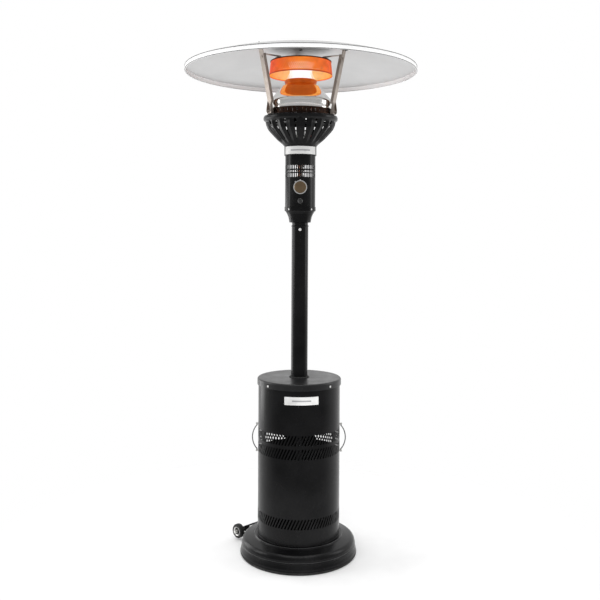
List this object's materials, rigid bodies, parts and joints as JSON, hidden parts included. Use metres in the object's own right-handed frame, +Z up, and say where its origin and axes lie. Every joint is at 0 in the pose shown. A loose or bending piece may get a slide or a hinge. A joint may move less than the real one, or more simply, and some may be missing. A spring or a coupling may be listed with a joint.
{
  "type": "outdoor patio heater",
  "caption": "Gas patio heater: round base with wheel kit, lift-up tank housing, post, control head, burner bowl, polished cone, emitter bell and dished reflector.",
  "frame": {"origin": "on the floor under the middle of the round base, on the post's axis", "axes": "+Z up along the post, -Y is the front with the knob, igniter button and badges, +X to the right seen from the front"},
  "size_m": [1.0754, 1.0754, 2.3501],
  "materials": {
    "black_enamel": "satin black enamel on pressed steel",
    "lid_enamel": "glossy black enamel",
    "rubber_trim": "matt black rubber",
    "tyre_rubber": "matt black solid tyre",
    "hub_metal": "bright plated hub",
    "cast_weight": "rough grey casting",
    "frame_steel": "dark powder coat",
    "zinc_steel": "bright zinc plate",
    "handle_wire": "bright plated wire",
    "copper_pipe": "bare copper",
    "valve_brass": "turned brass",
    "badge_plate": "plain pale enamel plate",
    "gloss_panel": "gloss black",
    "bezel_chrome": "bright chrome",
    "knob_bronze": "warm anodised face",
    "black_plastic": "moulded black",
    "lead_insulation": "red silicone sleeve",
    "scorched_steel": "heat-browned steel",
    "cone_mirror": "polished stainless sheet",
    "burner_metal": "glowing heat-coloured steel",
    "emitter_glow": "glowing heat-coloured mesh",
    "stainless": "warm satin stainless",
    "reflector_sheet": "satin spun aluminium"
  },
  "bodies": {
    "stand": {"base_trim": "rubber_trim", "base_cover": "black_enamel", "base_weight": "cast_weight", "base_plate": "frame_steel", "wheel_bracket": "black_enamel", "wheel_axle": "zinc_steel", "axle_caps": "zinc_steel", "support_legs": "frame_steel", "hub_plate": "frame_steel", "frame_bolts": "zinc_steel", "post_tube": "black_enamel", "gas_pipe": "copper_pipe", "inlet_fitting": "valve_brass", "head_funnel": "black_enamel", "head_collar": "black_enamel", "head_screws": "zinc_steel", "control_housing": "black_enamel", "control_panel": "gloss_panel", "knob_bezel": "bezel_chrome", "gas_valve": "valve_brass", "valve_spring": "zinc_steel", "igniter_body": "black_plastic", "igniter_spring": "zinc_steel", "ignition_lead": "lead_insulation", "tilt_switch": "frame_steel", "orifice_holder": "valve_brass", "burner_tube": "zinc_steel", "pilot_tube": "copper_pipe", "thermocouple": "copper_pipe", "neck_collar": "black_enamel", "neck_badge": "badge_plate", "burner_bowl": "black_enamel", "bowl_flange": "black_enamel", "screen_ring": "scorched_steel", "deflector_cone": "cone_mirror", "burner_pan": "burner_metal", "burner_cap": "burner_metal", "emitter_band": "emitter_glow", "emitter_top": "scorched_steel", "emitter_arms": "stainless", "reflector_bars": "stainless", "bar_fasteners": "stainless", "reflector": "reflector_sheet", "reflector_nuts": "zinc_steel"},
    "housing": {"housing_shell": "black_enamel", "housing_lid": "lid_enamel", "lid_screws": "zinc_steel", "lid_grommet": "rubber_trim", "housing_badge": "badge_plate", "handle_eyes": "zinc_steel"},
    "left_handle": {"left_handle": "handle_wire"},
    "right_handle": {"right_handle": "handle_wire"},
    "left_wheel": {"left_wheel_hub": "hub_metal", "left_wheel_tyre": "tyre_rubber"},
    "right_wheel": {"right_wheel_hub": "hub_metal", "right_wheel_tyre": "tyre_rubber"},
    "valve_plunger": {"valve_follower": "zinc_steel"},
    "knob": {"valve_stem": "zinc_steel", "control_knob": "knob_bronze"},
    "igniter_button": {"igniter_button": "black_plastic"}
  },
  "joints": [
    {"name": "housing_lift", "type": "slide", "parent": "stand", "child": "housing", "axis": [0, 0, 1], "range_m": [0, 0.5]},
    {"name": "left_handle_swing", "type": "hinge", "parent": "housing", "child": "left_handle", "pos_m": [-0.196, 0, 0.5335], "axis": [0, 0, 1], "range_deg": [-80, 80]},
    {"name": "right_handle_swing", "type": "hinge", "parent": "housing", "child": "right_handle", "pos_m": [0.196, 0, 0.5335], "axis": [0, 0, 1], "range_deg": [-80, 80]},
    {"name": "left_wheel_spin", "type": "hinge", "parent": "stand", "child": "left_wheel", "pos_m": [-0.28991, 0.13859, 0.04], "axis": [0.7071, 0.7071, 0], "continuous": true},
    {"name": "right_wheel_spin", "type": "hinge", "parent": "stand", "child": "right_wheel", "pos_m": [-0.13859, 0.28991, 0.04], "axis": [0.7071, 0.7071, 0], "continuous": true},
    {"name": "knob_push", "type": "slide", "parent": "stand", "child": "valve_plunger", "axis": [0, 1, 0], "range_m": [0, 0.006], "stiffness_N_per_m": 600, "springref_m": -0.003, "deforming": ["valve_spring"]},
    {"name": "knob_turn", "type": "hinge", "parent": "valve_plunger", "child": "knob", "pos_m": [0, -0.08, 1.696], "axis": [0, -1, 0], "range_deg": [0, 160]},
    {"name": "igniter_press", "type": "slide", "parent": "stand", "child": "igniter_button", "axis": [0, 1, 0], "range_m": [0, 0.008], "stiffness_N_per_m": 400, "springref_m": -0.004, "deforming": ["igniter_spring"]}
  ]
}
